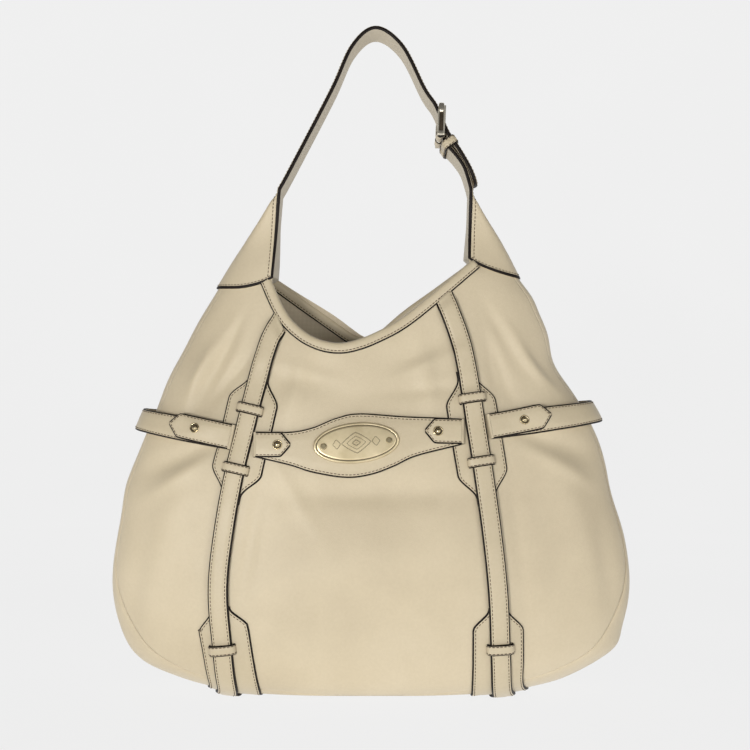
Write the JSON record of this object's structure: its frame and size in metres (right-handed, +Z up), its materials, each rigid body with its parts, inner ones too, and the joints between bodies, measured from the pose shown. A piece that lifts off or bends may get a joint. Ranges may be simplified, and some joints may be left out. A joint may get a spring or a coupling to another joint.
{
  "type": "hobo bag",
  "caption": "Slouchy leather hobo bag with an arched mouth, buckled shoulder handle on horn-shaped corners, riveted belts, keeper loops, an oval plaque and an inner zip pocket.",
  "frame": {"origin": "on the floor, at the middle of the bag's base, under the middle of its width and depth", "axes": "+X to the viewer's right along the bag's width, +Y towards its back, +Z up"},
  "size_m": [0.4293, 0.1262, 0.5538],
  "materials": {
    "body_leather": "smooth ivory leather with painted dark edges",
    "trim_leather": "smooth cream leather straps with dark brown edges and dark stitching",
    "lining_cloth": "plain woven brown lining cloth",
    "zip_tape": "woven tape",
    "stiffener_board": "pressed board",
    "pale_gold": "polished pale gold plating",
    "zip_metal": "pale gold metal",
    "snap_metal": "plated steel"
  },
  "bodies": {
    "bag": {"back_belt": "trim_leather", "back_left_diamond_patch": "trim_leather", "back_panel": "body_leather", "back_right_diamond_patch": "trim_leather", "back_rim_binding": "trim_leather", "back_studs": "pale_gold", "base_board": "stiffener_board", "front_belt": "trim_leather", "front_left_diamond_patch": "trim_leather", "front_panel": "body_leather", "front_right_diamond_patch": "trim_leather", "front_rim_binding": "trim_leather", "front_studs": "pale_gold", "gusset": "body_leather", "left_base_loop_back": "trim_leather", "left_base_loop_front": "trim_leather", "left_base_patch": "trim_leather", "left_down_strap": "trim_leather", "left_horn": "body_leather", "left_lower_loop_back": "trim_leather", "left_lower_loop_front": "trim_leather", "left_side_belt": "trim_leather", "left_upper_loop_back": "trim_leather", "left_upper_loop_front": "trim_leather", "lining": "lining_cloth", "magnetic_snap_back": "snap_metal", "magnetic_snap_front": "snap_metal", "plaque": "pale_gold", "plaque_screws": "pale_gold", "right_base_loop_back": "trim_leather", "right_base_loop_front": "trim_leather", "right_base_patch": "trim_leather", "right_down_strap": "trim_leather", "right_horn": "body_leather", "right_lower_loop_back": "trim_leather", "right_lower_loop_front": "trim_leather", "right_side_belt": "trim_leather", "right_upper_loop_back": "trim_leather", "right_upper_loop_front": "trim_leather", "zip_pocket": "lining_cloth", "zip_tapes": "zip_tape", "zip_teeth": "zip_metal"},
    "handle": {"long_strap": "trim_leather", "short_strap": "trim_leather", "strap_keeper": "trim_leather"},
    "buckle": {"buckle_frame": "pale_gold"},
    "prong": {"buckle_prong": "pale_gold"},
    "slider": {"zip_slider": "zip_metal"},
    "pull": {"zip_pull": "zip_metal"}
  },
  "joints": [
    {"name": "handle_swing", "type": "hinge", "parent": "bag", "child": "handle", "pos_m": [0, 0, 0.419], "axis": [1, 0, 0], "range_deg": [-83, 97]},
    {"name": "buckle_pivot", "type": "hinge", "parent": "handle", "child": "buckle", "pos_m": [0.0575, 0.005, 0.45969], "axis": [0, 0.9925, -0.1219], "range_deg": [0, 15]},
    {"name": "prong_pivot", "type": "hinge", "parent": "buckle", "child": "prong", "pos_m": [0.0575, 0.005, 0.45969], "axis": [0, 0.9925, -0.1219], "range_deg": [0, 12]},
    {"name": "zip_slide", "type": "slide", "parent": "bag", "child": "slider", "axis": [1, 0, 0], "range_m": [0, 0.14]},
    {"name": "zip_pull_swing", "type": "hinge", "parent": "slider", "child": "pull", "pos_m": [-0.07, 0.02735, 0.23139], "axis": [-1, 0, 0], "range_deg": [0, 80]}
  ]
}
